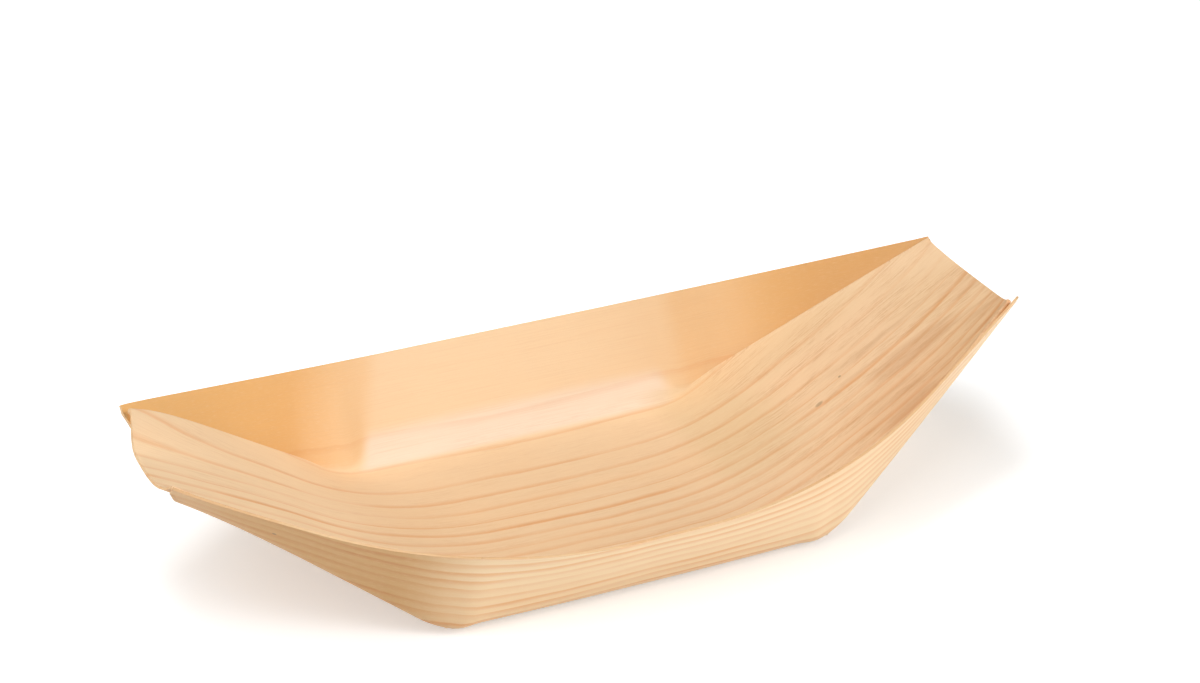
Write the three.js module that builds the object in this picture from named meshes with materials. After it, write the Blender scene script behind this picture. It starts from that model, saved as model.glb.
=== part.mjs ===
// A snack boat folded from one sheet of pine veneer and glued at its four pleated corners.
// Millimetres, +Z up. X runs along the boat, +Y is towards its back wall, and it stands on Z = 0.
import * as THREE from 'three';
import { mergeVertices } from 'three/addons/utils/BufferGeometryUtils.js';

// The sheet and its creases
const veneer = 0.6; // thickness of the sheet
const floorLength = 88; // between the creases where the ramps start
const floorWidth = 77.8; // between the creases where the walls start
const rampLength = 66.6; // along a ramp, from its crease to its tip edge
const tipWidth = 36.5; // across a ramp at its tip edge
const tipRise = 38.5; // height of the tip edge over the floor
const tipLip = 3; // wall that is left standing above the ramp at a tip

// Softness of the folds: how far a bend reaches to either side of its crease
const wallBend = 6.5; // foot of a wall, beside the floor
const tipBend = 4.8; // foot of a wall, at the tips
const rampBend = 23.5; // foot of a ramp, on the boat's middle line
const rampCornerBend = 2.4; // foot of a ramp, at the wall creases
const rimSweep = 36.5; // the rim, above each floor corner
const rampDish = 5.5; // sag of a ramp's middle below its edges, at the tip

// The corner pleats, folded double under the ramps
const pleatStart = 4; // from the floor corner to where the leaves lie apart
const glueFilm = 0.2; // thickness of the adhesive between two leaves
const glueMargin = 2; // from the rim of a leaf to the adhesive
const layerGap = 0.2; // between layers that lie on each other
const creaseGap = 0.3; // between panels that meet at a crease

// How finely the panels are divided, along and across
const floorGrid = [20, 16];
const rampGrid = [14, 16];
const wallGrid = [20, 8];
const cornerGrid = [14, 8];
const leafGrid = [8, 6];
const glueGrid = [6, 4];

const pineColour = 0xeac699;
const wallColour = 0xe9bd84;
const leafColour = 0xdcb482;
const glueColour = 0xe6d9bd;

// What the unstretched sheet makes of those sizes
const halfLength = floorLength / 2;
const halfWidth = floorWidth / 2;
const taper = halfWidth - tipWidth / 2; // narrowing of a ramp on each side
const wallHeight = taper + tipLip; // the sheet's long edge is straight
const wallLean = 2 * Math.atan2(taper, tipRise); // lean at which the pleat closes
const slope = Math.asin(tipRise / rampLength);
const leafAngle = Math.atan2(taper, rampLength); // of one leaf, at the floor corner
const halfCrease = creaseGap / 2;

// Layers under a ramp, as heights above the outer face of the ramp's sheet
const innerLeafTop = -layerGap;
const glueTop = innerLeafTop - veneer - layerGap;
const outerLeafTop = glueTop - glueFilm - layerGap;
const pleatDepth = veneer - outerLeafTop;

const { lerp, smoothstep } = THREE.MathUtils;
const easeIn = (t) => 1 - Math.cos((t * Math.PI) / 2);
const easeBoth = (t) => 0.5 - 0.5 * Math.cos(t * Math.PI);

// Length of sheet that has turned past a crease, eased in over the reach of the bend
function turned(past, reach) {
  if (past <= -reach) return 0;
  if (past >= reach) return past;
  return (past + reach) ** 2 / (4 * reach);
}

// Share of the ramp that lies below a station u along the sheet
const rampShare = (u) => THREE.MathUtils.clamp((u - halfLength) / rampLength, 0, 1);

// Distance of the side crease from the middle line
const creaseAt = (u) => halfWidth - taper * rampShare(u);

// Floor and ramp, u along and v across the sheet, in the quarter where both are positive
function stripPoint(u, v) {
  const reach = lerp(rampBend, rampCornerBend, (v / halfWidth) ** 2);
  const up = turned(u - halfLength, Math.min(reach, halfLength));
  const sag = rampDish * rampShare(u) ** 2 * (1 - (v / creaseAt(u)) ** 2);
  const x = u - (1 - Math.cos(slope)) * up + sag * Math.sin(slope);
  const z = up * Math.sin(slope) - sag * Math.cos(slope);
  return new THREE.Vector3(x, v, z);
}

// Upper edge of the wall: straight beside the floor, then swept inward and up to the tip
function rimPoint(u) {
  const out = Math.cos(wallLean);
  const up = Math.sin(wallLean);
  const overCorner = new THREE.Vector3(halfLength, halfWidth + wallHeight * out, wallHeight * up);
  const tipX = halfLength + rampLength * Math.cos(slope);
  const tip = new THREE.Vector3(tipX, tipWidth / 2 + tipLip * out, tipRise + tipLip * up);
  const swept = turned(u - halfLength, Math.min(rimSweep, halfLength, rampLength));
  const point = overCorner.clone().addScaledVector(tip.sub(overCorner), swept / rampLength);
  point.x += u - halfLength - swept;
  return point;
}

// Length of the wall from its crease to its rim
const wallAt = (u) => rimPoint(u).distanceTo(stripPoint(u, creaseAt(u)));

// Outer face of the folded sheet at a station u, by the distance past the side crease
function sheetPoint(u, past) {
  const edge = creaseAt(u);
  const up = turned(past, lerp(wallBend, tipBend, rampShare(u)));
  const wall = rimPoint(u).sub(stripPoint(u, edge)).normalize();
  return stripPoint(u, edge + past - up).addScaledVector(wall, up);
}

// A point above the outer face, towards the inside of the boat, for either sign of u and v
function liftedPoint(u, v, lift) {
  const step = 0.02;
  const side = (s, t) => {
    const point = sheetPoint(Math.abs(s), Math.abs(t) - creaseAt(Math.abs(s)));
    return point.multiply(new THREE.Vector3(Math.sign(s), Math.sign(t), 1));
  };
  const along = side(u + step, v).sub(side(u - step, v));
  const across = side(u, v + step).sub(side(u, v - step));
  return side(u, v).addScaledVector(along.cross(across).normalize(), lift);
}

// A closed panel of sheet: spot(s, t, layer) places the corners of a divided slab, all from 0 to 1
function panel([along, across], spot) {
  const geometry = new THREE.BoxGeometry(1, 1, 1, along, across, 1);
  geometry.deleteAttribute('normal');
  geometry.deleteAttribute('uv');
  const position = geometry.getAttribute('position');
  for (let i = 0; i < position.count; i += 1) {
    const share = new THREE.Vector3().fromBufferAttribute(position, i).addScalar(0.5);
    const point = spot(share.x, share.y, share.z);
    position.setXYZ(i, point.x, point.y, point.z);
  }
  return mergeVertices(geometry, 1e-5);
}

// The floor, out to the middle of the bends around it
function floorPanel() {
  const reachX = halfLength - halfCrease;
  const reachY = halfWidth - halfCrease;
  return panel(floorGrid, (s, t, layer) => {
    const u = lerp(-reachX, reachX, easeBoth(s));
    const v = lerp(-reachY, reachY, easeBoth(t));
    return liftedPoint(u, v, layer * veneer);
  });
}

// The right ramp, from the floor crease to the tip edge, with its edges curled up to the walls
function rampPanel() {
  return panel(rampGrid, (s, t, layer) => {
    const u = halfLength + lerp(halfCrease, rampLength, easeIn(s));
    const edge = creaseAt(u) - halfCrease;
    return liftedPoint(u, lerp(-edge, edge, easeBoth(t)), layer * veneer);
  });
}

// The back wall, from the middle of the bend at its foot to the rim
function wallPanel() {
  const reachX = halfLength - halfCrease;
  return panel(wallGrid, (s, t, layer) => {
    const u = lerp(-reachX, reachX, easeBoth(s));
    const v = halfWidth + lerp(halfCrease, wallAt(Math.abs(u)), easeIn(t));
    return liftedPoint(u, v, layer * veneer);
  });
}

// The end of the back wall, on the right: it turns inward and passes outside the folded pleat
function cornerWallPanel() {
  return panel(cornerGrid, (s, t, layer) => {
    const run = lerp(halfCrease, rampLength, easeIn(s));
    const u = halfLength + run;
    const height = wallAt(u);
    const past = lerp(halfCrease, height, easeIn(t));
    const footTuck = smoothstep(run, 0, pleatStart);
    const tuck = pleatDepth * lerp(footTuck, run / rampLength, past / height);
    return liftedPoint(u, creaseAt(u) + past, layer * veneer - tuck);
  });
}

// A layer of the back right pleat: a fan from the floor corner, between the ramp's edge and the fold
// that joins the two leaves, at a height under the ramp and drawn in by a margin all round
function leafPanel(grid, top, thickness, margin) {
  const middle = 1.5 * leafAngle;
  const drawnIn = margin / Math.sin(leafAngle / 2);
  return panel(grid, (s, t, layer) => {
    const turn = leafAngle * easeIn(1 - t);
    const heading = leafAngle + turn;
    const toTip = rampLength / Math.cos(leafAngle - turn);
    const toMiddle = (halfWidth - halfCrease) / Math.sin(heading);
    const reach = Math.min(toTip, toMiddle) - margin - drawnIn * Math.cos(heading - middle);
    const along = lerp(pleatStart, reach, s);
    const u = halfLength + drawnIn * Math.cos(middle) + along * Math.cos(heading);
    const v = halfWidth - drawnIn * Math.sin(middle) - along * Math.sin(heading);
    return liftedPoint(u, v, top - thickness * (1 - layer));
  });
}

// A copy of a closed panel mirrored along X or Y, with its triangles turned to face out again
function mirrored(geometry, x, y) {
  const copy = geometry.clone().scale(x, y, 1);
  if (x * y < 0) copy.index.array.reverse();
  return copy;
}

const boat = new THREE.Group();

function add(name, geometry, colour, roughness) {
  const material = new THREE.MeshStandardMaterial({ color: colour, roughness, metalness: 0 });
  material.flatShading = true;
  const mesh = new THREE.Mesh(geometry, material);
  mesh.name = name;
  boat.add(mesh);
}

const ends = { left: -1, right: 1 };
const sides = { front: -1, back: 1 };
const woodRoughness = 0.65;
const glueRoughness = 0.35;

add('floor_panel', floorPanel(), pineColour, woodRoughness);
const ramp = rampPanel();
const wall = wallPanel();
const cornerWall = cornerWallPanel();
const innerLeaf = leafPanel(leafGrid, innerLeafTop, veneer, halfCrease);
const outerLeaf = leafPanel(leafGrid, outerLeafTop, veneer, halfCrease);
const glue = leafPanel(glueGrid, glueTop, glueFilm, glueMargin);

for (const [end, x] of Object.entries(ends)) {
  add(`${end}_ramp`, mirrored(ramp, x, 1), pineColour, woodRoughness);
}
for (const [side, y] of Object.entries(sides)) {
  add(`${side}_wall`, mirrored(wall, 1, y), wallColour, woodRoughness);
  for (const [end, x] of Object.entries(ends)) {
    const corner = `${side}_${end}`;
    add(`${corner}_corner_wall`, mirrored(cornerWall, x, y), wallColour, woodRoughness);
    add(`${corner}_inner_leaf`, mirrored(innerLeaf, x, y), leafColour, woodRoughness);
    add(`${corner}_outer_leaf`, mirrored(outerLeaf, x, y), leafColour, woodRoughness);
    add(`${corner}_corner_glue`, mirrored(glue, x, y), glueColour, glueRoughness);
  }
}

export default boat;
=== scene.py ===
import math

import bmesh
import bpy
from mathutils import Matrix, Vector


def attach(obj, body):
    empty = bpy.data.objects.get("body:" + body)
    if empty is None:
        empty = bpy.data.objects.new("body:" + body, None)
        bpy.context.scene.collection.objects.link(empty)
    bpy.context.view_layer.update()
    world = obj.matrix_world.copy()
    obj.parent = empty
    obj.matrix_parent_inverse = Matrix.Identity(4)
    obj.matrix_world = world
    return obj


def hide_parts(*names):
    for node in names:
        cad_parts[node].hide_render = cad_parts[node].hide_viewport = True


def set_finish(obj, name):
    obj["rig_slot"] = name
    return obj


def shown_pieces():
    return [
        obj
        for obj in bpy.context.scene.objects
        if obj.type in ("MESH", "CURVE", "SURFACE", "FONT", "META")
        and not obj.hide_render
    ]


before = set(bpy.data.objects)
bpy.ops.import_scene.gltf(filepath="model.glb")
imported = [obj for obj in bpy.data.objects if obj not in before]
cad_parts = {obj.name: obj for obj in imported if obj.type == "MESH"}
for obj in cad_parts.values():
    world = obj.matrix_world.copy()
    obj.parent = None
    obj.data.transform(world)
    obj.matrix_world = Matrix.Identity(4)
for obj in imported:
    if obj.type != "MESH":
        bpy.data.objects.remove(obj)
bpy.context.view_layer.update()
print("frame: %d nodes" % len(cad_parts))

mm = 0.001
sheetUnit = 100  # millimetres of the flat sheet to one unit of its UV map
scene = bpy.context.scene
scene.view_settings.view_transform = "Standard"


def lerp(start, stop, share):
    return start + (stop - start) * share


def clamp(value, low=0.0, high=1.0):
    return max(low, min(high, value))


def smooth(value, low, high):
    share = clamp((value - low) / (high - low))
    return share * share * (3 - 2 * share)


# finer beside a crease, at the start
def easeIn(share):
    easing = 0.8
    return lerp(share, 1 - math.cos(share * math.pi / 2), easing)


def easeBoth(share):
    return 0.5 - 0.5 * math.cos(share * math.pi)


# The blank and its creases, in millimetres
blank = {
    "veneer": 0.55,
    "halfLength": 45.0,  # middle of the floor to a ramp crease
    "halfWidth": 38.9,  # middle of the floor to a wall crease
    "rampRun": 53.4,  # a ramp's length, measured level
    "tipRise": 38.5,
    "tipHalfWidth": 18.5,
    "tipLip": 2.5,  # wall standing above the ramp at a tip
    "wallBend": 6.5,  # reach of each bend to either side of its crease
    "rampBend": 23.5,
    "rampCornerBend": 1.6,
    "cornerRound": 1.6,  # easing of the side crease where it turns in beside a ramp
    "cornerFold": 1.0,  # reach of the tight fold under a corner wall
    "rimSweep": 36.5,
    "rampDish": 3.5,
    "layerGap": 0.06,  # ramp to inner leaf
    "glueGap": 0.2,  # leaf to leaf, with the glue in it
    "glueFilm": 0.16,
    "glueMargin": 2.0,
    "glueStart": 4.0,  # from a floor corner to the glue, to each leaf and to the pleat's full depth
    "innerStart": 4.0,
    "outerStart": 1.0,
    "pleatStart": 10.0,
    "noseGap": 0.3,  # from a folded leaf to the boat's middle line
    "pinchFade": (-6.0, 12.0),  # where a pinched fold runs out, past the ramp crease
    "drawnFrom": 0.3,  # share of a ramp's half width, where its edge starts to be drawn in
    "flickPower": 6,  # how close to its end a lip turns up
}

# Where this boat is uneven, at each end: how far its ramp's crease is shifted and skewed, and what is
# added to the rise of its tip and to its dish
ends = {
    "left": {"sign": -1, "crease": 1.25, "skew": 0.85, "rise": -0.4, "dish": 1.7},
    "right": {"sign": 1, "crease": -5.4, "skew": 1.4, "rise": 0.2, "dish": -1.0},
}
# On each side: how far its rim stands out and up, and what is added to the rim's sweep
sides = {
    "front": {"sign": -1, "rimOut": -0.6, "rimUp": 1.5, "sweep": -1.1},
    "back": {"sign": 1, "rimOut": 0.8, "rimUp": 1.5, "sweep": 1.1},
}
# At each corner: the lip's height, its flick at the tip and its reach; the curl of the wall's foot;
# how far the ramp's edge is drawn in and up, and how much of that the wall follows; how far the fold
# is pinched in beside the floor, where it starts to tighten and over what length
tips = {
    "front_left": {
        "lip": -1.2, "flick": 2.0, "reach": 1.6, "curl": 5.0,
        "inset": 2.6, "lift": -1.0, "follow": 1.0,
        "pinch": 0.0, "foldFrom": -4.0, "foldOver": 9.0,
    },
    "front_right": {
        "lip": 1.8, "flick": 0.0, "reach": -0.7, "curl": 2.4,
        "inset": 0.8, "lift": -0.3, "follow": 1.0,
        "pinch": 0.0, "foldFrom": -4.0, "foldOver": 9.0,
    },
    "back_left": {
        "lip": -0.7, "flick": 0.0, "reach": 0.6, "curl": 6.0,
        "inset": 3.0, "lift": 3.2, "follow": 0.0,
        "pinch": 3.8, "foldFrom": -10.5, "foldOver": 9.5,
    },
    "back_right": {
        "lip": -1.6, "flick": 0.0, "reach": -0.5, "curl": 3.5,
        "inset": 0.0, "lift": 0.0, "follow": 1.0,
        "pinch": 2.2, "foldFrom": -4.5, "foldOver": 7.5,
    },
}

veneer = blank["veneer"]
halfWidth = blank["halfWidth"]
taper = halfWidth - blank["tipHalfWidth"]
wallHeight = taper + blank["tipLip"]
wallLean = 2 * math.atan2(taper, blank["tipRise"])
pleatDepth = 2 * veneer + blank["layerGap"] + blank["glueGap"]

for end in ends.values():
    run = blank["rampRun"] - end["crease"]
    rise = blank["tipRise"] + end["rise"]
    end["start"] = blank["halfLength"] + end["crease"]
    end["tip"] = (end["start"] + run, rise)
    end["tipEdge"] = end["start"] + math.hypot(rise, run)  # along the flat sheet


# Length of sheet that has turned past a crease, eased in over the reach of the bend
def turned(past, reach):
    if past <= -reach:
        return 0.0
    if past >= reach:
        return past
    return (past + reach) ** 2 / (4 * reach)


def endOf(u):
    return ends["left"] if u < 0 else ends["right"]


def cornerOf(u, v):
    side = "front" if v < 0 else "back"
    end = "left" if u < 0 else "right"
    return sides[side], ends[end], tips[side + "_" + end]


# Where a ramp starts along the sheet, as its crease runs a little askew
def startAt(u, v):
    end = endOf(u)
    return end["start"] + end["skew"] * clamp(v / halfWidth, -1.0, 1.0)


# Length of a ramp from there
def lengthAt(u, v):
    return endOf(u)["tipEdge"] - startAt(u, v)


def rampShare(u, v):
    return clamp((abs(u) - startAt(u, v)) / lengthAt(u, v))


# The edge of the floor on the side of v
def sideOf(v):
    return math.copysign(halfWidth, v)


# How far the foot of a wall has gone from the broad bend beside the floor to the fold beside a ramp
def foldedShare(u, v):
    tip = cornerOf(u, v)[2]
    past = abs(u) - startAt(u, sideOf(v))
    return smooth(past, tip["foldFrom"], tip["foldFrom"] + tip["foldOver"])


# How far a fold is pinched in towards the middle line
def pinchAt(u, v):
    past = abs(u) - startAt(u, sideOf(v))
    kept = 1 - smooth(past, *blank["pinchFade"])
    return cornerOf(u, v)[2]["pinch"] * foldedShare(u, v) * kept


# Distance of the side crease from the middle line
def creaseAt(u, v):
    past = turned(abs(u) - startAt(u, sideOf(v)), blank["cornerRound"])
    return halfWidth - taper * past / lengthAt(u, sideOf(v)) - pinchAt(u, v)


# Floor and ramps, u along and v across the sheet; above is true for the ramp itself and false for what
# lies outside it
def stripPoint(u, v, above=False):
    end = endOf(u)
    along = abs(u)
    bend = lerp(blank["rampBend"], blank["rampCornerBend"], clamp((v / halfWidth) ** 2))
    up = turned(along - startAt(u, v), bend)
    slope = math.asin(end["tip"][1] / lengthAt(u, v))
    dish = blank["rampDish"] + end["dish"]
    share = rampShare(u, v) ** 2
    outward = abs(v) / creaseAt(u, v)
    sag = dish * share * (1 - outward ** 3)
    x = along - (1 - math.cos(slope)) * up + sag * math.sin(slope)
    z = up * math.sin(slope) - sag * math.cos(slope)
    tip = cornerOf(u, v)[2]
    drawn = share * smooth(outward, blank["drawnFrom"], 1.0) * (1.0 if above else tip["follow"])
    y = v - math.copysign(tip["inset"] * drawn, v)
    return Vector((end["sign"] * x, y, z + tip["lift"] * drawn))


# Upper edge of a wall: straight beside the floor, then swept inward and up to the tip
def rimPoint(u, v):
    side, end, tip = cornerOf(u, v)
    start = startAt(u, sideOf(v))
    along = abs(u) - start
    flick = tip["flick"] * rampShare(u, sideOf(v)) ** blank["flickPower"]
    lip = blank["tipLip"] + tip["lip"] + flick
    out, up = math.cos(wallLean), math.sin(wallLean)
    overCorner = Vector((
        start,
        halfWidth + wallHeight * out + side["rimOut"],
        wallHeight * up + side["rimUp"],
    ))
    overTip = Vector((
        end["tip"][0] + tip["reach"],
        blank["tipHalfWidth"] + lip * out,
        end["tip"][1] + lip * up,
    ))
    swept = turned(along, blank["rimSweep"] + side["sweep"])
    point = overCorner.lerp(overTip, swept / lengthAt(u, sideOf(v)))
    point.x += along - swept
    return Vector((end["sign"] * point.x, side["sign"] * point.y, point.z))


# Length of a wall from its crease to its rim
def wallAt(u, v):
    foot = math.copysign(creaseAt(u, v), v)
    return (rimPoint(u, v) - stripPoint(u, foot)).length


# Reach of the bend at a wall's foot: broad beside the floor, tight beside a ramp, and curled at the tip
def bendReach(u, v):
    curl = lerp(blank["cornerFold"], cornerOf(u, v)[2]["curl"], rampShare(u, sideOf(v)) ** 2)
    return lerp(blank["wallBend"], curl, foldedShare(u, v))


# Outer face of the folded sheet
def sheetPoint(u, v, above=False):
    crease = creaseAt(u, v)
    past = abs(v) - crease
    up = turned(past, bendReach(u, v))
    if up == 0:
        return stripPoint(u, v, above)
    wall = rimPoint(u, v) - stripPoint(u, math.copysign(crease, v), above)
    return stripPoint(u, math.copysign(crease + past - up, v), above) + wall.normalized() * up


# A point above the outer face, towards the inside of the boat
def liftedPoint(u, v, lift, above=False):
    step = 0.02
    along = sheetPoint(u + step, v, above) - sheetPoint(u - step, v, above)
    across = sheetPoint(u, v + step, above) - sheetPoint(u, v - step, above)
    return sheetPoint(u, v, above) + along.cross(across).normalized() * lift


# Materials

# A socket that formulas can be written with
class Wire:
    def __init__(self, tree, socket=None):
        self.tree = tree
        self.socket = socket

    # any node: its type, its settings, then the values or links of its sockets by name or number
    def node(self, kind, settings=None, sockets=None, out=0):
        made = self.tree.nodes.new(kind)
        for key, value in (settings or {}).items():
            setattr(made, key, value)
        for key, value in (sockets or {}).items():
            if isinstance(value, Wire):
                self.tree.links.new(value.socket, made.inputs[key])
            else:
                made.inputs[key].default_value = value
        return Wire(self.tree, made.outputs[out] if made.outputs else None)

    def math(self, operation, *values):
        return self.node("ShaderNodeMath", {"operation": operation}, dict(enumerate(values)))

    def __add__(self, other):
        return self.math("ADD", self, other)

    def __sub__(self, other):
        return self.math("SUBTRACT", self, other)

    def __mul__(self, other):
        return self.math("MULTIPLY", self, other)

    def __truediv__(self, other):
        return self.math("DIVIDE", self, other)

    def __rsub__(self, other):
        return self.math("SUBTRACT", other, self)

    __radd__ = __add__
    __rmul__ = __mul__

    # from 0 at low to 1 at high, eased
    def between(self, low, high):
        sockets = {"Value": self, "From Min": low, "From Max": high}
        return self.node("ShaderNodeMapRange", {"interpolation_type": "SMOOTHSTEP"}, sockets)

    def mix(self, colour, other, blend="MIX"):
        settings = {"data_type": "RGBA", "blend_type": blend}
        return self.node("ShaderNodeMix", settings, {0: self, 6: colour, 7: other}, 2)

    def noise(self, along, across, layer, detail, roughness):
        place = self.node("ShaderNodeCombineXYZ", None, {0: along, 1: across, 2: layer})
        sockets = {"Vector": place, "Scale": 1.0, "Detail": detail, "Roughness": roughness}
        return self.node("ShaderNodeTexNoise", None, sockets)


# the light of a channel that is written as it looks on a screen, 0 to 1
def linear(channel):
    return channel / 12.92 if channel <= 0.04045 else ((channel + 0.055) / 1.055) ** 2.4


# a colour in the same way, 0 to 255
def tone(red, green, blue):
    return tuple(linear(channel / 255) for channel in (red, green, blue)) + (1.0,)


def newMaterial(name):
    material = bpy.data.materials.new(name)
    material.use_nodes = True
    material.node_tree.nodes.clear()
    return material, Wire(material.node_tree)


grain = {
    "pith": 37.4,  # across the sheet, where the saw ran along the rings
    "depth": 60.0,  # of the sheet below the pith
    "firstRing": 60.243,
    "ringWidth": 2.62,
    "crowding": 0.006,  # how much closer each ring lies to the next
    "darkRings": (5, 10),
    "bow": 1.0,  # slow sway of the grain along the sheet
    "bowLength": 100.0,
    "riseFrom": 65.0,  # where the grain starts to turn off, on the right ramp, and how fast
    "rise": 0.003,
    "wander": 1.8,
    "ripple": 0.7,
    "lineFade": 2.0,  # how far a dark line fades on its soft side, and on its hard side
    "lineEdge": 0.5,
}

# Zones of the blank: what they are measured by, and the millimetres over which they come in
zones = {
    "pastFront": ("across", -44, -34),
    "flatSawn": ("across", 24, 42),
    "onWall": ("fromMiddle", 38.5, 42),
    "onBack": ("across", 0, 1),
    "rightFold": ("along", 40, 47),
    "rightCorner": ("along", 50, 80),
    "leftFold": ("pastLeft", -3, 3),
    "leftCorner": ("pastLeft", 0, 26),
    "farCornerShade": ("along", 55, 88),
    "sheenFrom": ("across", 33, 36),
    "sheenTo": ("across", 43, 47),
    "sheenRight": ("along", 36.5, 41),
    "sheenLeft": ("pastLeft", -2.5, 1.5),
    "wornRamp": ("along", 55, 80),
    "wornSide": ("across", 1, 9),
    "wornWall": ("across", 47, 54),
    "rightEnd": ("along", 42, 78),
    "rightBack": ("across", -20, -5),
    "shadeFrom": ("along", 28, 38),
    "shadeTo": ("along", 48, 62),
    "shadeSide": ("across", -18, 0),
    "ridgeSide": ("across", 14, 24),
    "ridgeRamp": ("along", 44, 56),
    "rightTip": ("along", 84, 98),
    "patched": ("along", 58, 84),
    "patchEnd": ("across", 2, 10),
    "fuzzy": ("along", 30, 60),
    "leftRamp": ("toLeft", 42, 68),
    "rightRamp": ("along", 42, 68),
    "leftEndShade": ("toLeft", 40, 64),
}

# The slanted fold at the left end: a place along and across the blank, and its lean
slant = {"along": 38.5, "across": 45, "lean": 0.32}

# Noises over the blank: turns in a millimetre along and across it, layer, detail, roughness
noises = {
    "wander": (0.02, 0.05, 0.0, 2.0, 0.5),
    "ripple": (0.09, 0.3, 3.0, 2.0, 0.5),
    "vigour": (0.025, 0.2, 7.0, 2.0, 0.5),
    "patch": (0.03, 0.35, 17.0, 3.0, 0.6),
    "fibre": (0.05, 4.0, 1.0, 4.0, 0.6),
    "hair": (0.5, 9.0, 5.0, 3.0, 0.6),
    "fuzz": (0.16, 2.2, 9.0, 5.0, 0.75),
    "tufts": (0.05, 0.25, 13.0, 2.0, 0.5),
    "cloud": (0.018, 0.06, 11.0, 2.0, 0.5),
}

# Small blemishes and broad stains: place along and across the blank, half length, half width, darkness
marks = [
    (62.8, -1.4, 1.3, 0.7, 0.45),
    (70.9, 1.7, 0.5, 0.4, 0.6),
    (-89.0, -57.0, 0.6, 0.35, 0.8),
]
stains = [
    (87.0, -7.5, 15.0, 4.5, 0.75),
    (78.0, -24.0, 12.0, 3.5, 0.5),
]


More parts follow.
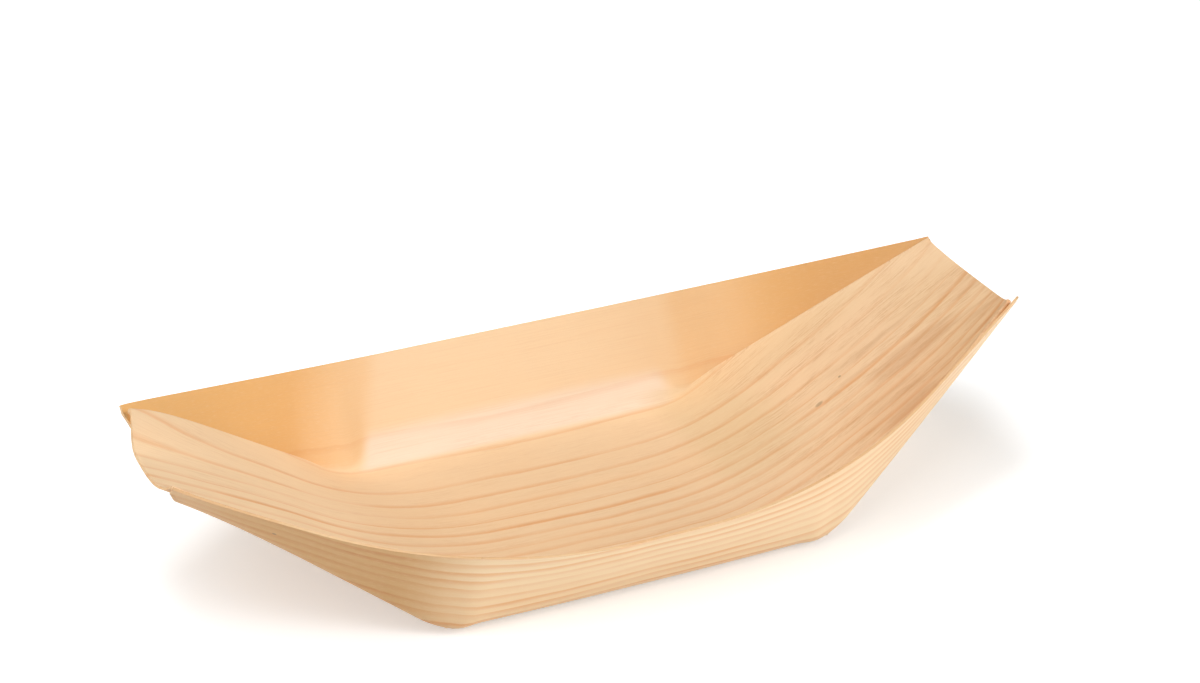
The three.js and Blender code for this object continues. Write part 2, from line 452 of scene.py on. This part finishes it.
# What the rings and fibres of the blank are at each place, from its flat measures in millimetres
def pineFigure(net):
    flat = net.node("ShaderNodeUVMap", {"uv_map": "sheet"})
    along = net.node("ShaderNodeSeparateXYZ", None, {0: flat}, 0) * sheetUnit
    across = net.node("ShaderNodeSeparateXYZ", None, {0: flat}, 1) * sheetUnit
    toLeft = along * -1
    measures = {
        "along": along,
        "across": across,
        "toLeft": toLeft,
        "fromMiddle": net.math("ABSOLUTE", across),
        "pastLeft": toLeft + (across - slant["across"]) * slant["lean"] - slant["along"],
    }
    zone = {}
    for name, (measure, low, high) in zones.items():
        zone[name] = measures[measure].between(low, high)
    noise = {}
    for name, (turnsAlong, turnsAcross, *rest) in noises.items():
        noise[name] = net.noise(along * turnsAlong, across * turnsAcross, *rest)
    offWall = 1 - zone["onWall"]

    def blots(places):
        total = 0.0
        for place, aside, length, width, depth in places:
            far = ((along - place) / length, (across - aside) / width)
            near = 1 - (far[0] * far[0] + far[1] * far[1]).between(0.2, 1.0)
            total = near * depth + total
        return total

    # growth rings, cut by the sheet at a distance from the pith
    bow = 1 - net.math("COSINE", along * (2 * math.pi / grain["bowLength"]))
    rising = net.math("MAXIMUM", along - grain["riseFrom"], 0)
    sway = bow * grain["bow"] + rising * rising * grain["rise"]
    wander = (noise["wander"] - 0.5) * grain["wander"]
    ripple = (noise["ripple"] - 0.5) * grain["ripple"]
    reach = across - sway + wander + ripple - grain["pith"]
    distance = net.math("SQRT", reach * reach + grain["depth"] ** 2)
    count = (distance - grain["firstRing"]) / grain["ringWidth"]
    ring = count + count * count * grain["crowding"]
    year = net.math("FLOOR", ring)
    growth = ring - year

    # how dark the line of each year is, and how it fades on both sides
    chance = net.node("ShaderNodeTexWhiteNoise", {"noise_dimensions": "1D"}, {"W": year + 0.5})
    dark = 0.0
    for number in grain["darkRings"]:
        dark = net.math("COMPARE", year, number - 1, 0.5) + dark
    base = chance * 0.45 + dark * 0.55 + 0.3 + (1 - zone["pastFront"]) * 0.25
    strength = base * (noise["vigour"].between(0.25, 0.65) * 0.7 + 0.3)
    steep = net.math("MAXIMUM", net.math("ABSOLUTE", reach), 4)
    spacing = distance * grain["ringWidth"] / steep
    soft = net.math("MINIMUM", spacing * 0.65, grain["lineFade"])
    before = 1 - ((1 - growth) * spacing / soft).between(0, 1)
    after = 1 - (growth * spacing / grain["lineEdge"]).between(0, 1)
    late = net.math("MAXIMUM", before, after) * strength * (1 - zone["flatSawn"] * 0.6)
    worn = zone["wornRamp"] * zone["wornSide"] * 0.6 + zone["wornWall"] * 0.85
    late = late * (1 - net.math("MINIMUM", worn, 1.0))

    # tones, and painted light and shade, by place on the boat
    # rightSide and leftSide mark the corner walls beside the ramps, which take painted shade tinted
    # orange for light bounced off the ramps
    rightSide = zone["rightFold"] * 0.4 + zone["rightCorner"] * 0.6
    leftSide = zone["leftFold"] * 0.4 + zone["leftCorner"] * 0.6
    # painted highlight: a pale band along the bend at the foot of the back wall, for the lamp's sheen
    # in it
    bendSheen = zone["sheenFrom"] * (1 - zone["sheenTo"])
    bendSheen = bendSheen * (1 - zone["sheenRight"]) * (1 - zone["sheenLeft"])
    rightEnd = (1 - zone["rightBack"]) * 0.55 + 0.45
    # painted shade on the right end: where the floor turns up into the ramp, beside the ramp's back
    # ridge, and at the tip
    rampFoot = zone["shadeFrom"] * (1 - zone["shadeTo"]) * zone["shadeSide"]
    ridge = zone["ridgeSide"] * zone["ridgeRamp"] * 0.8
    paintedShade = net.math("MAXIMUM", net.math("MAXIMUM", rampFoot, ridge), zone["rightTip"] * 0.45)
    patch = noise["patch"].between(0.46, 0.68) * zone["patched"] * (1 - zone["patchEnd"]) * offWall
    fuzz = noise["fuzz"].between(0.42, 0.68) * noise["tufts"].between(0.3, 0.65)
    return {
        "late": late,
        "fibre": noise["fibre"],
        "hair": noise["hair"],
        "streak": noise["fibre"].between(0.42, 0.8),
        "fleck": noise["hair"].between(0.5, 0.8),
        "fuzz": fuzz * (zone["fuzzy"] * 0.65 + 0.35) * offWall,
        "cloud": noise["cloud"].between(0.3, 0.7),
        "flatSawn": zone["flatSawn"],
        "corner": zone["onWall"] * net.math("MAXIMUM", rightSide, leftSide),
        # painted shade: the corner wall at the back of the right end darker
        "farCornerShade": zone["onWall"] * zone["farCornerShade"] * zone["onBack"],
        "bendSheen": bendSheen,
        # painted light: the ramps lighter than the floor, for the light that falls on them
        "rampLight": zone["leftRamp"] + zone["rightRamp"] * 0.6,
        "rightEnd": rightEnd * zone["rightEnd"] * offWall,
        "paintedShade": paintedShade * offWall,
        "patch": net.math("MINIMUM", patch + blots(stains), 1.0),
        # painted shade: the outside of the left end darker and warmer, where it faces down and away
        # from the lamps
        "leftEndShade": zone["leftEndShade"],
        "spots": blots(marks),
    }


# Each layer of colour: what it follows in the figure, how much of it shows, and its tone
def pine(name, look):
    material, net = newMaterial(name)
    figure = pineFigure(net)
    wood = look["early"]
    for layer, amount in look["amounts"].items():
        blend = "MULTIPLY" if layer == "late" else "MIX"
        wood = (figure[layer] * amount).mix(wood, look[layer], blend)
    height = figure["fibre"] * 0.6 + figure["hair"] * 0.4 + figure["late"] * 0.5
    bump = net.node("ShaderNodeBump", None, {
        "Strength": look["bump"], "Distance": 0.2 * mm, "Height": height})
    rough = figure["hair"] * 0.16 + look["roughness"] - figure["bendSheen"] * 0.06
    shader = net.node("ShaderNodeBsdfPrincipled", None, {
        "Base Color": wood, "Roughness": rough, "Normal": bump})
    net.node("ShaderNodeOutputMaterial", None, {"Surface": shader})
    return material


insideLook = {
    "early": tone(239, 205, 164),
    "cloud": tone(240, 202, 158),
    "flatSawn": tone(250, 216, 172),
    # painted shade on the corner walls, tinted orange for light bounced off the ramps and through the
    # veneer
    "corner": tone(240, 186, 116),
    # painted shade on the back corner wall at the right end
    "farCornerShade": tone(222, 168, 104),
    # painted highlight on the bend at the foot of the back wall
    "bendSheen": tone(247, 223, 199),
    # painted light on the ramps
    "rampLight": tone(252, 219, 178),
    "rightEnd": tone(222, 170, 120),
    # painted shade on the right end, at the ramp's foot, beside its back ridge and at its tip
    "paintedShade": tone(224, 194, 148),
    "patch": tone(204, 152, 106),
    # painted shade for the outside of the left end
    "leftEndShade": tone(205, 157, 95),
    "late": tone(240, 198, 158),  # what the dark lines take from the tone below them
    "streak": tone(228, 180, 132),
    "fuzz": tone(206, 150, 100),
    "fleck": tone(252, 228, 194),
    "spots": tone(150, 120, 88),
    "amounts": {
        "cloud": 1.0, "flatSawn": 0.8, "rampLight": 0.9, "corner": 1.0, "farCornerShade": 0.8, "bendSheen": 0.85,
        "rightEnd": 0.45, "paintedShade": 0.5, "patch": 0.45, "late": 0.78, "streak": 0.26, "fuzz": 0.6,
        "fleck": 0.3, "spots": 1.0,
    },
    "roughness": 0.44,
    "bump": 0.3,
}
outsideLook = dict(
    insideLook, early=tone(250, 219, 177), cloud=tone(247, 212, 167),
    amounts={
        # painted shade on the outside of the left end
        "cloud": 1.0, "leftEndShade": 0.9, "late": 0.85, "streak": 0.26, "fuzz": 0.3, "fleck": 0.3,
        "spots": 1.0,
    },
)
edgeLook = dict(
    insideLook, early=tone(230, 192, 146), cloud=tone(222, 180, 132), bump=0.5, roughness=0.6,
    amounts={"cloud": 1.0, "late": 0.6, "streak": 0.4, "fleck": 0.2},
)

veneerFinish = [
    pine("pineInside", insideLook),
    pine("pineOutside", outsideLook),
    pine("pineEdge", edgeLook),
]


glueLook = {
    "pale": tone(236, 224, 196),
    "brown": tone(214, 190, 146),
    "blotches": 220.0,  # in a metre
    "roughness": 0.3,
    "bump": 0.4,
}


def glueFinish():
    material, net = newMaterial("driedGlue")
    place = net.node("ShaderNodeTexCoord", None, None, "Object")
    blotch = net.node("ShaderNodeTexNoise", None, {
        "Vector": place, "Scale": glueLook["blotches"], "Detail": 3.0})
    colour = blotch.between(0.35, 0.7).mix(glueLook["pale"], glueLook["brown"])
    bump = net.node("ShaderNodeBump", None, {
        "Strength": glueLook["bump"], "Distance": 0.2 * mm, "Height": blotch})
    rough = glueLook["roughness"] + blotch * 0.2
    shader = net.node("ShaderNodeBsdfPrincipled", None, {
        "Base Color": colour, "Roughness": rough, "Normal": bump})
    net.node("ShaderNodeOutputMaterial", None, {"Surface": shader})
    return material


gluePaint = glueFinish()
print("materials: %d" % (len(veneerFinish) + 1))


# Pieces

# Faces of a sheet, by the numbers of their materials
inside, outside, cutEdge = 0, 1, 2


# A slab of flat sheet, divided, then laid where spot(s, t, layer) says; chart(s, t) gives its flat
# place. Layer 1 is the face that is up, towards the inside, on the flat blank.
def foldedPiece(name, divisions, spot, chart, slotName, materials):
    bm = bmesh.new()
    bmesh.ops.create_grid(bm, x_segments=divisions[0], y_segments=divisions[1], size=0.5)
    bmesh.ops.solidify(bm, geom=bm.faces[:], thickness=1.0)
    bm.normal_update()
    flat = bm.loops.layers.uv.new("sheet")
    for face in bm.faces:
        level = face.normal.z
        face.material_index = inside if level > 0.5 else outside if level < -0.5 else cutEdge
        face.smooth = True
        for loop in face.loops:
            share = loop.vert.co
            u, v = chart(share.x + 0.5, share.y + 0.5)
            loop[flat].uv = (u / sheetUnit, v / sheetUnit)
    for edge in bm.edges:
        kinds = {face.material_index for face in edge.link_faces}
        edge.smooth = len(kinds) == 1
    for vert in bm.verts:
        share = vert.co + Vector((0.5, 0.5, 1.0))
        vert.co = spot(share.x, share.y, share.z) * mm
    mesh = bpy.data.meshes.new(name)
    bmesh.ops.recalc_face_normals(bm, faces=bm.faces[:])
    bm.to_mesh(mesh)
    bm.free()
    for material in materials:
        mesh.materials.append(material)
    piece = bpy.data.objects.new(name, mesh)
    scene.collection.objects.link(piece)
    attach(piece, "root")
    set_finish(piece, slotName)
    return piece


floorMesh = {"along": 60, "across": 48}
rampMesh = {"along": 48, "across": 48}
wallMesh = {"up": 20}
leafMesh = {"along": 40, "fan": 14, "fold": 8}
glueMesh = {"along": 16, "across": 10}


# A place across the floor or a ramp, between the two side creases
def acrossAt(u, share):
    return lerp(-creaseAt(u, -1), creaseAt(u, 1), share)


def floorPiece():
    def flatSpot(s, t):
        v = lerp(-halfWidth, halfWidth, easeBoth(t))
        u = lerp(-startAt(-1, v), startAt(1, v), s)
        return u, acrossAt(u, easeBoth(t))

    def spot(s, t, layer):
        u, v = flatSpot(s, t)
        return liftedPoint(u, v, layer * veneer)

    divisions = (floorMesh["along"], floorMesh["across"])
    piece = foldedPiece("floor", divisions, spot, flatSpot, "veneer", veneerFinish)
    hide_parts("floor_panel")


def rampPiece(endName):
    end = ends[endName]

    def flatSpot(s, t):
        share = s if end["sign"] > 0 else 1 - s
        v = lerp(-halfWidth, halfWidth, easeBoth(t))
        u = end["sign"] * lerp(startAt(end["sign"], v), end["tipEdge"], easeIn(share))
        return u, acrossAt(u, easeBoth(t))

    def spot(s, t, layer):
        u, v = flatSpot(s, t)
        return liftedPoint(u, v, layer * veneer, True)

    divisions = (rampMesh["along"], rampMesh["across"])
    piece = foldedPiece(endName + "Ramp", divisions, spot, flatSpot, "veneer", veneerFinish)
    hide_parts(endName + "_ramp")


# Where a place on a wall was in the flat blank: square to the crease at the foot, along the rim at
# the top
def wallChart(u, side, past, height):
    fromFoot = halfWidth + taper * rampShare(u, side) + past
    fromRim = halfWidth + wallHeight - (height - past)
    return math.copysign(lerp(fromFoot, fromRim, past / height), side)


def wallPiece(sideName):
    sign = sides[sideName]["sign"]
    side = sideOf(sign)

    def place(s, t):
        u = lerp(-startAt(-1, side), startAt(1, side), s)
        height = wallAt(u, sign)
        share = t if sign > 0 else 1 - t
        return u, easeIn(share) * height, height

    def flatSpot(s, t):
        u, past, height = place(s, t)
        return u, wallChart(u, side, past, height)

    def spot(s, t, layer):
        u, past, _ = place(s, t)
        return liftedPoint(u, sign * (creaseAt(u, sign) + past), layer * veneer)

    divisions = (floorMesh["along"], wallMesh["up"])
    piece = foldedPiece(sideName + "Wall", divisions, spot, flatSpot, "veneer", veneerFinish)
    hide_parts(sideName + "_wall")


# How far the corner of a wall lies outside the line of the ramp's edge
def footTuck(run):
    return pleatDepth * smooth(run, 0.0, blank["pleatStart"])


def cornerWallPiece(sideName, endName):
    sign = sides[sideName]["sign"]
    side = sideOf(sign)
    end = ends[endName]
    length = lengthAt(end["sign"], side)

    def place(s, t):
        along = s if end["sign"] > 0 else 1 - s
        run = length * easeIn(along)
        u = end["sign"] * (startAt(end["sign"], side) + run)
        height = wallAt(u, sign)
        share = t if sign > 0 else 1 - t
        return u, run, easeIn(share) * height, height

    def flatSpot(s, t):
        u, _, past, height = place(s, t)
        return u, wallChart(u, side, past, height)

    def spot(s, t, layer):
        u, run, past, height = place(s, t)
        rimTuck = pleatDepth * run / length
        tuck = lerp(footTuck(run), rimTuck, past / height)
        return liftedPoint(u, sign * (creaseAt(u, sign) + past), layer * veneer - tuck)

    corner = sideName + "_" + endName
    divisions = (rampMesh["along"], wallMesh["up"])
    name = sideName + endName.capitalize() + "CornerWall"
    piece = foldedPiece(name, divisions, spot, flatSpot, "veneer", veneerFinish)
    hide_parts(corner + "_corner_wall")


# The fan of a corner pleat: its apex at the floor corner, the angle of one leaf, the ramp beside it
def pleatOf(sideName, endName):
    sign, end = sides[sideName]["sign"], ends[endName]
    length = lengthAt(end["sign"], sideOf(sign))
    return {
        "flipU": end["sign"],
        "flipV": sign,
        "start": startAt(end["sign"], sideOf(sign)),
        "length": length,
        "angle": math.atan2(taper, length),
    }


# A place in a pleat: a distance from its apex, and a turn from the ramp's edge to the fold between
# the leaves
def pleatPlace(pleat, distance, turn, aside=0.0):
    heading = pleat["angle"] + turn
    u = pleat["flipU"] * (pleat["start"] + distance * math.cos(heading) - aside * math.sin(heading))
    v = halfWidth - distance * math.sin(heading) - aside * math.cos(heading)
    return u, pleat["flipV"] * (v - pinchAt(u, pleat["flipV"]))


# How far a leaf runs at a turn, to the tip edge or to a margin beside the middle line
def leafReach(pleat, turn, margin):
    toTip = pleat["length"] / math.cos(pleat["angle"] - turn)
    toMiddle = (halfWidth - margin) / math.sin(pleat["angle"] + turn)
    return min(toTip, toMiddle)


# Both leaves of a pleat; the inner one holds the half turn at the ramp's edge, the outer one the
# fold between them
def leafPiece(sideName, endName, layerName):
    pleat = pleatOf(sideName, endName)
    flip = pleat["flipU"] * pleat["flipV"]
    inner = layerName == "inner"
    foldShare = leafMesh["fold"] / (leafMesh["fold"] + leafMesh["fan"])
    firstReach = blank["innerStart"] if inner else blank["outerStart"]
    noseRoom = veneer + blank["glueGap"] / 2 + blank["noseGap"]

    def place(s, t):
        across = t if flip > 0 else 1 - t
        folding = clamp(across / foldShare)
        fanned = clamp((across - foldShare) / (1 - foldShare))
        turn = pleat["angle"] * (fanned if inner else 1 - fanned)
        distance = lerp(firstReach, leafReach(pleat, turn, noseRoom), s)
        return folding * math.pi, turn, distance

    def flatSpot(s, t):
        _, turn, distance = place(s, t)
        aside = distance * math.sin(pleat["angle"] - turn)
        u = pleat["start"] + distance * math.cos(pleat["angle"] - turn)
        v = halfWidth - aside if inner else halfWidth + aside
        return pleat["flipU"] * u, pleat["flipV"] * v

    def spot(s, t, layer):
        bend, turn, distance = place(s, t)
        gap = blank["layerGap"] if inner else blank["glueGap"]
        radius = gap / 2 + veneer * (layer if inner else 1 - layer)
        top = 0.0 if inner else -blank["layerGap"] - veneer
        lift = top - gap / 2 + radius * math.cos(bend)
        out = radius * math.sin(bend)
        u, v = pleatPlace(pleat, distance, turn, -out if inner else out)
        shrink = 1.0 if inner else smooth(distance, 0.0, blank["pleatStart"])
        return liftedPoint(u, v, lift * shrink, inner)

    divisions = (leafMesh["along"], leafMesh["fold"] + leafMesh["fan"])
    name = sideName + endName.capitalize() + layerName.capitalize() + "Leaf"
    piece = foldedPiece(name, divisions, spot, flatSpot, "veneer", veneerFinish)
    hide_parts(sideName + "_" + endName + "_" + layerName + "_leaf")


def gluePiece(sideName, endName):
    pleat = pleatOf(sideName, endName)
    flip = pleat["flipU"] * pleat["flipV"]
    margin = blank["glueMargin"]
    middle = 1.5 * pleat["angle"]
    drawnIn = margin / math.sin(pleat["angle"] / 2)
    top = -blank["layerGap"] - veneer - (blank["glueGap"] - blank["glueFilm"]) / 2

    def place(s, t):
        across = t if flip > 0 else 1 - t
        turn = pleat["angle"] * across
        heading = pleat["angle"] + turn
        reach = leafReach(pleat, turn, margin) - margin - drawnIn * math.cos(heading - middle)
        distance = lerp(blank["glueStart"], reach, s)
        run = drawnIn * math.cos(middle) + distance * math.cos(heading)
        u = pleat["flipU"] * (pleat["start"] + run)
        v = halfWidth - drawnIn * math.sin(middle) - distance * math.sin(heading)
        return u, pleat["flipV"] * (v - pinchAt(u, pleat["flipV"]))

    def spot(s, t, layer):
        u, v = place(s, t)
        return liftedPoint(u, v, top - blank["glueFilm"] * (1 - layer))

    divisions = (glueMesh["along"], glueMesh["across"])
    name = sideName + endName.capitalize() + "Glue"
    piece = foldedPiece(name, divisions, spot, place, "glue", [gluePaint] * 3)
    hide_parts(sideName + "_" + endName + "_corner_glue")


floorPiece()
for endName in ends:
    rampPiece(endName)
for sideName in sides:
    wallPiece(sideName)
    for endName in ends:
        cornerWallPiece(sideName, endName)
        leafPiece(sideName, endName, "inner")
        leafPiece(sideName, endName, "outer")
        gluePiece(sideName, endName)


# Where two panels of the one sheet meet, both get the same normals, so that no seam shows
def joinNormals(pieces):
    nearby = 0.02 * mm
    shared = {}

    # the corners of a mesh that lie on a face of the sheet, with the place and face they share
    def cornersOf(mesh):
        for face in mesh.polygons:
            if face.material_index == cutEdge:
                continue
            for index in face.loop_indices:
                place = mesh.vertices[mesh.loops[index].vertex_index].co
                yield index, (tuple(round(c / nearby) for c in place), face.material_index)

    for piece in pieces:
        for index, key in cornersOf(piece.data):
            shared[key] = shared.get(key, Vector()) + piece.data.corner_normals[index].vector
    for piece in pieces:
        normals = [corner.vector.copy() for corner in piece.data.corner_normals]
        for index, key in cornersOf(piece.data):
            normals[index] = shared[key].normalized()
        piece.data.normals_split_custom_set(normals)


joinNormals([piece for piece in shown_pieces() if piece.get("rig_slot") == "veneer"])
print("normals joined")


# Stage, light and camera, in metres

stage = {
    "half": 3.0,
    "colour": tone(246, 250, 253),
    "lift": (0.35, 0.35, 0.35, 1.0),  # glow under the boat, where the table keeps the shadow
    "fade": (0.45, 1.0),  # from there to white, by the distance from the middle
    "drop": 0.2 * mm,
}


def floorStage():
    bm = bmesh.new()
    bmesh.ops.create_grid(bm, x_segments=1, y_segments=1, size=stage["half"])
    mesh = bpy.data.meshes.new("tableTop")
    bm.to_mesh(mesh)
    bm.free()
    material, net = newMaterial("paleTable")
    rays = net.node("ShaderNodeLightPath", None, None, "Is Camera Ray")
    rays = rays + net.node("ShaderNodeLightPath", None, None, "Is Glossy Ray")
    rays = rays + net.node("ShaderNodeLightPath", None, None, "Is Transmission Ray")
    place = net.node("ShaderNodeTexCoord", None, None, "Object")
    away = net.node("ShaderNodeVectorMath", {"operation": "LENGTH"}, {0: place}, "Value")
    pale = away.between(*stage["fade"]).mix(stage["lift"], tone(255, 255, 255))
    matt = net.node("ShaderNodeBsdfDiffuse", None, {"Color": stage["colour"]})
    glow = net.node("ShaderNodeEmission", None, {"Color": pale, "Strength": rays})
    top = net.node("ShaderNodeAddShader", None, {0: matt, 1: glow})
    below = net.node("ShaderNodeNewGeometry", None, None, "Backfacing")
    clear = net.node("ShaderNodeBsdfTransparent")
    shader = net.node("ShaderNodeMixShader", None, {0: below, 1: top, 2: clear})
    net.node("ShaderNodeOutputMaterial", None, {"Surface": shader})
    mesh.materials.append(material)
    table = bpy.data.objects.new("tableTop", mesh)
    scene.collection.objects.link(table)
    table.location.z = -stage["drop"]


sky = {"strength": 0.02, "colour": tone(255, 255, 255)}


def skyLight():
    world = bpy.data.worlds.new("studio")
    world.use_nodes = True
    world.node_tree.nodes.clear()
    net = Wire(world.node_tree)
    seen = net.node("ShaderNodeLightPath", None, None, "Is Camera Ray")
    strength = seen * (1.0 - sky["strength"]) + sky["strength"]
    light = net.node("ShaderNodeBackground", None, {"Color": sky["colour"], "Strength": strength})
    net.node("ShaderNodeOutputWorld", None, {"Surface": light})
    scene.world = world


lamps = {
    "top": {"place": (-0.1, 0.2, 1.2), "size": 0.5, "power": 4.9},
    "broadLeft": {"place": (-0.6, -0.2, 0.9), "size": 1.2, "power": 8.2},
    "lowLeft": {"place": (-0.85, 0.4, 0.28), "size": 0.5, "power": 1.7},
    "frontRight": {"place": (0.58, -0.85, 0.68), "size": 0.6, "power": 5.6},
    "lowRight": {"place": (0.76, -0.66, 0.19), "size": 0.3, "power": 2.4},
}


def lampPiece(name, lamp):
    data = bpy.data.lights.new(name, "AREA")
    data.energy = lamp["power"]
    data.size = lamp["size"]
    light = bpy.data.objects.new(name, data)
    scene.collection.objects.link(light)
    light.location = lamp["place"]
    light.rotation_mode = "QUATERNION"
    light.rotation_quaternion = (-Vector(lamp["place"])).to_track_quat("-Z", "Y")


floorStage()
skyLight()
for name, lamp in lamps.items():
    lampPiece(name, lamp)
print("lamps: %d" % len(lamps))

photo = {
    "width": 1200,
    "azimuth": -23.93,
    "elevation": 27.34,
    "roll": -0.58,
    "distance": 699.07,  # in millimetres, as is the target
    "target": (24.17, 45.69, 15.0),
    "focus": 2900.7,  # focal length in pixels of that width
}


def cameraPiece():
    azimuth, elevation = math.radians(photo["azimuth"]), math.radians(photo["elevation"])
    roll = math.radians(photo["roll"])
    level = math.cos(elevation)
    back = Vector((math.sin(azimuth) * level, -math.cos(azimuth) * level, math.sin(elevation)))
    right = (-back).cross(Vector((0, 0, 1))).normalized()
    up = back.cross(right)
    turnedRight = right * math.cos(roll) + up * math.sin(roll)
    turnedUp = up * math.cos(roll) - right * math.sin(roll)
    data = bpy.data.cameras.new("camera")
    data.sensor_width = 36.0
    data.lens = photo["focus"] / photo["width"] * data.sensor_width
    data.clip_start = 0.01
    camera = bpy.data.objects.new("camera", data)
    scene.collection.objects.link(camera)
    place = (Vector(photo["target"]) + back * photo["distance"]) * mm
    axes = Matrix((turnedRight, turnedUp, back)).transposed().to_4x4()
    camera.matrix_world = Matrix.Translation(place) @ axes
    scene.camera = camera


cameraPiece()
print("camera set")
